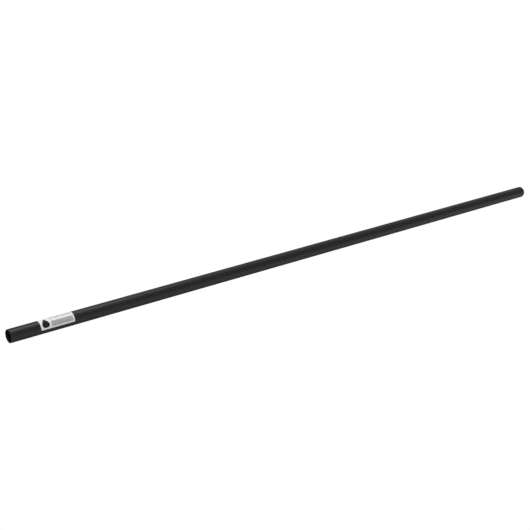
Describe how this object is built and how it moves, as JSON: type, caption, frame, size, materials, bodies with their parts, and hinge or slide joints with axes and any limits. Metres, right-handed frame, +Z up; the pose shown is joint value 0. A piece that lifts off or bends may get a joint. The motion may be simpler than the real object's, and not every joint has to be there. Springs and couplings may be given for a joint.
{
  "type": "paint roller extension pole",
  "caption": "Straight extension pole for a paint roller: a steel tube in a black plastic skin, open at the roller end, with a rounded push-in plug at the grip end and a wrapped label.",
  "frame": {"origin": "centre of the open mouth, in the plane of its lip", "axes": "+X along the pole from the mouth to the end plug, +Z up with the pole lying level, -Y the side that the label's lower edge is on"},
  "size_m": [1.2, 0.0222, 0.0221],
  "materials": {
    "galvanised_steel": "dull rolled strip, bare inside the tube",
    "black_skin": "satin black, smooth, with faint lines along the pole",
    "black_plug": "satin black moulded plastic",
    "label_film": "white coated label with plain grey printed blocks and no lettering"
  },
  "bodies": {
    "pole": {"steel_tube": "galvanised_steel", "plastic_skin": "black_skin", "label": "label_film"},
    "plug": {"end_plug": "black_plug"}
  },
  "joints": [
    {"name": "plug_pull", "type": "slide", "parent": "pole", "child": "plug", "axis": [1, 0, 0], "range_m": [0, 0.025]}
  ]
}
